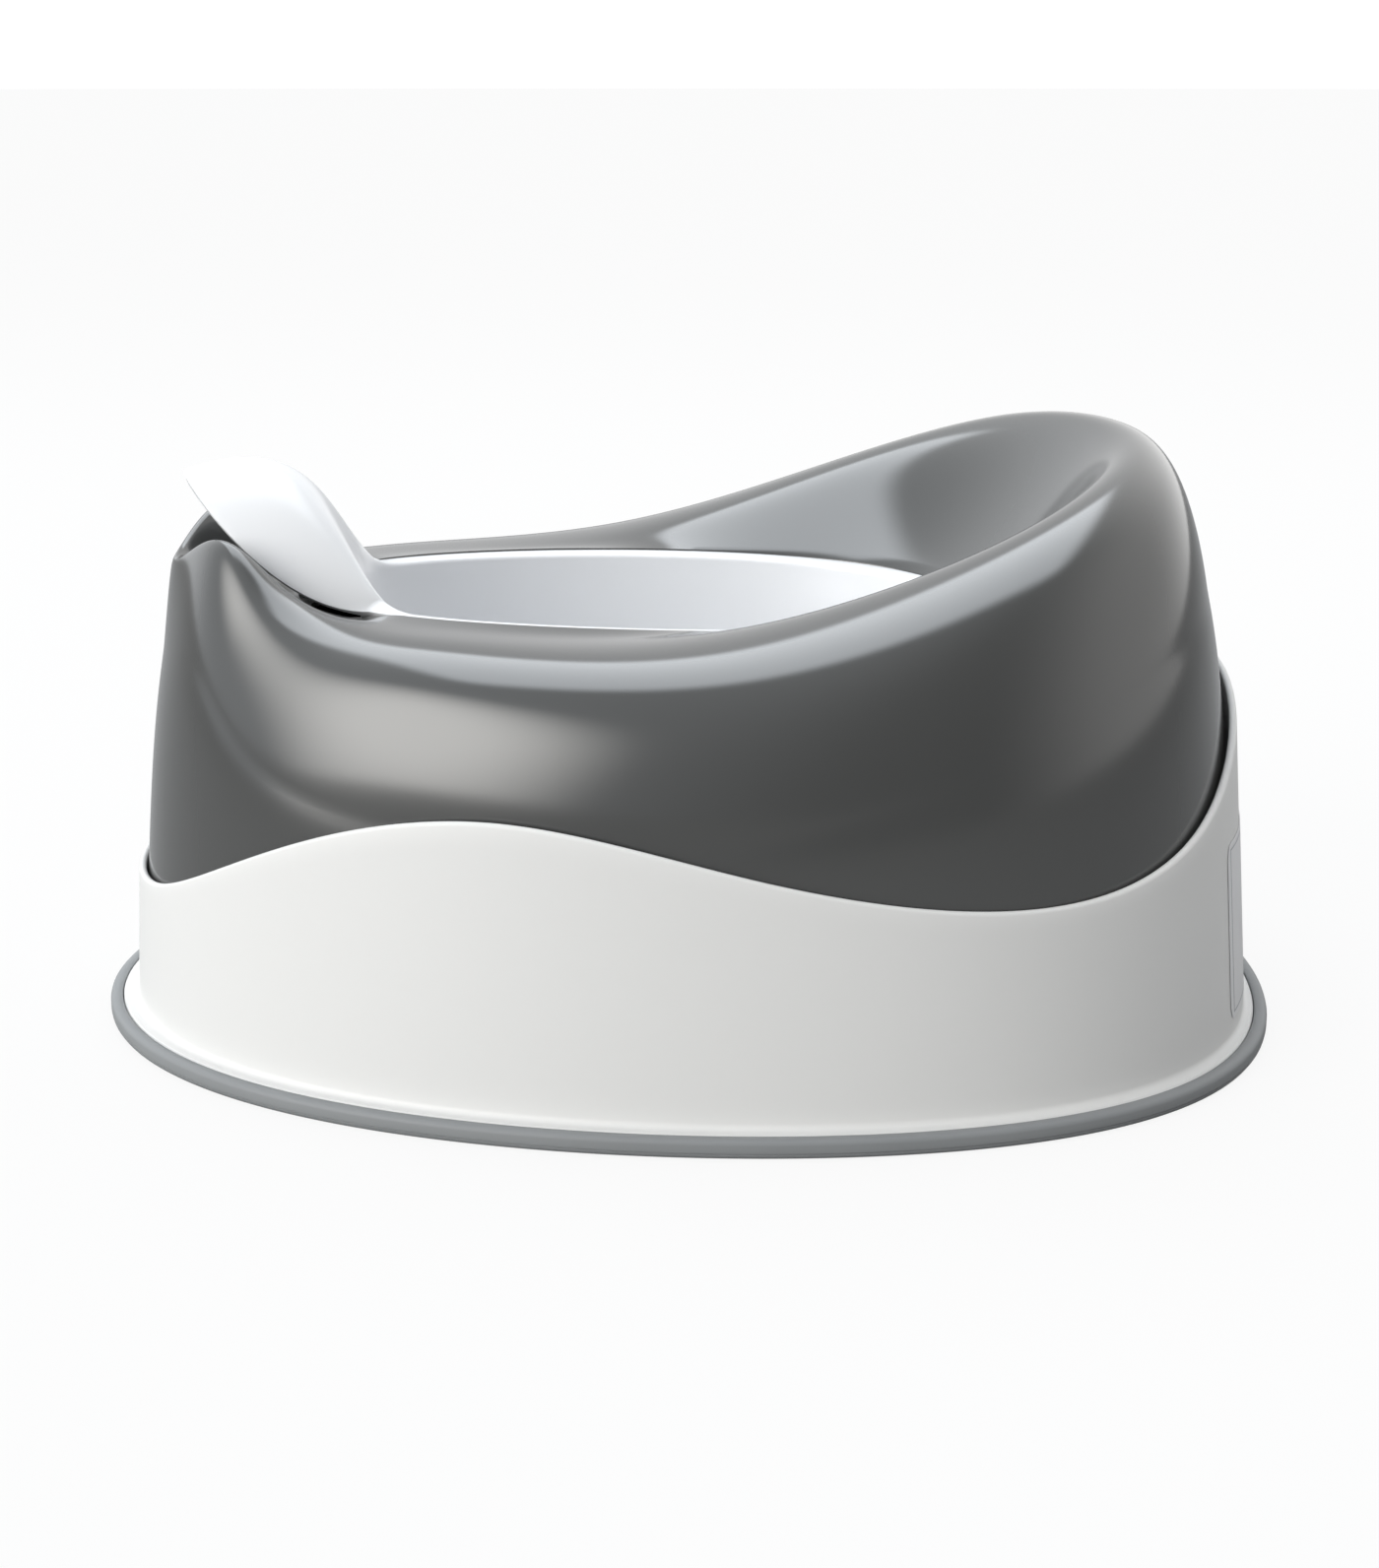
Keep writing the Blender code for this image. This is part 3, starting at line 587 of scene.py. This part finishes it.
light = bpy.data.lights.new("overhead_softbox", "AREA")
light.shape, light.size, light.size_y = "RECTANGLE", 1.30, 1.80
light.energy, light.color = 22, (0.90, 0.95, 1.0)
light.use_nodes = True
nodes, links = light.node_tree.nodes, light.node_tree.links
cloth, across = nodes.new("ShaderNodeNewGeometry"), nodes.new("ShaderNodeSeparateXYZ")
links.new(cloth.outputs["Parametric"], across.inputs["Vector"])
edges = []
for axis in ("X", "Y"):
    apart, fade = nodes.new("ShaderNodeMath"), nodes.new("ShaderNodeMapRange")
    apart.operation = "SUBTRACT"
    apart.inputs[1].default_value = 0.5
    links.new(across.outputs[axis], apart.inputs[0])
    size = nodes.new("ShaderNodeMath")
    size.operation = "ABSOLUTE"
    links.new(apart.outputs["Value"], size.inputs[0])
    fade.interpolation_type = "SMOOTHSTEP"
    fade.inputs["From Min"].default_value, fade.inputs["From Max"].default_value = 0.50, 0.34
    links.new(size.outputs["Value"], fade.inputs["Value"])
    edges.append(fade)
soft = nodes.new("ShaderNodeMath")
soft.operation = "MULTIPLY"
links.new(edges[0].outputs["Result"], soft.inputs[0])
links.new(edges[1].outputs["Result"], soft.inputs[1])
links.new(soft.outputs["Value"], nodes["Emission"].inputs["Strength"])
softbox = bpy.data.objects.new("overhead_softbox", light)
softbox.location = (-0.05, 0.62, 1.40)
bpy.context.scene.collection.objects.link(softbox)

world = bpy.data.worlds.new("studio")
bpy.context.scene.world = world
world.use_nodes = True
nodes, links = world.node_tree.nodes, world.node_tree.links
around_room = nodes.new("ShaderNodeTexCoord")
room = nodes["Background"]
room.inputs["Color"].default_value = (0.95, 0.97, 1.0, 1)
room.inputs["Strength"].default_value = 0.19
lit = room.outputs["Background"]


def glow(direction, wide, narrow, strength, colour, lit):
    """Adds light from one side of the room, full within narrow degrees, gone at wide."""
    toward, fade = nodes.new("ShaderNodeVectorMath"), nodes.new("ShaderNodeMapRange")
    toward.operation = "DOT_PRODUCT"
    toward.inputs[1].default_value = Vector(direction).normalized()
    links.new(around_room.outputs["Generated"], toward.inputs[0])
    fade.interpolation_type = "SMOOTHSTEP"
    fade.inputs["From Min"].default_value = math.cos(math.radians(wide))
    fade.inputs["From Max"].default_value = math.cos(math.radians(narrow))
    fade.inputs["To Max"].default_value = strength
    links.new(toward.outputs["Value"], fade.inputs["Value"])
    source, total = nodes.new("ShaderNodeBackground"), nodes.new("ShaderNodeAddShader")
    source.inputs["Color"].default_value = (*colour, 1)
    links.new(fade.outputs["Result"], source.inputs["Strength"])
    links.new(lit, total.inputs[0])
    links.new(source.outputs["Background"], total.inputs[1])
    return total.outputs["Shader"]


lit = glow((-1.0, 0.1, 0.3), 100, 30, 0.72, (0.90, 0.95, 1.0), lit)
lit = glow((-0.82, -0.50, 0.33), 36, 4, 4.6, (1.0, 0.98, 0.94), lit)
lit = glow((0.0, 1.0, 0.2), 80, 30, 0.6, (1.0, 1.0, 1.0), lit)
lit = glow((1.0, 0.25, 0.1), 78, 25, 0.85, (1.0, 0.99, 0.97), lit)
backdrop, eye = nodes.new("ShaderNodeBackground"), nodes.new("ShaderNodeLightPath")
backdrop.inputs["Strength"].default_value = 1.1
seen = nodes.new("ShaderNodeMixShader")
links.new(eye.outputs["Is Camera Ray"], seen.inputs["Fac"])
links.new(lit, seen.inputs[1])
links.new(backdrop.outputs["Background"], seen.inputs[2])
links.new(seen.outputs["Shader"], nodes["World Output"].inputs["Surface"])
backdrop.inputs["Color"].default_value = (1, 1, 1, 1)
bpy.context.scene.view_settings.view_transform = "Standard"

camera = bpy.data.cameras.new("camera")
camera.sensor_width, camera.lens = 36, 36 * 2692.5 / 1592
camera.clip_start = 0.01
viewpoint = bpy.data.objects.new("camera", camera)
viewpoint.location = (-0.1251, -0.7964, 0.2828)
viewpoint.rotation_euler = (Vector((0.0018, 0, 0.0632)) - viewpoint.location) \
    .to_track_quat("-Z", "Y").to_euler()
bpy.context.scene.collection.objects.link(viewpoint)
bpy.context.scene.camera = viewpoint
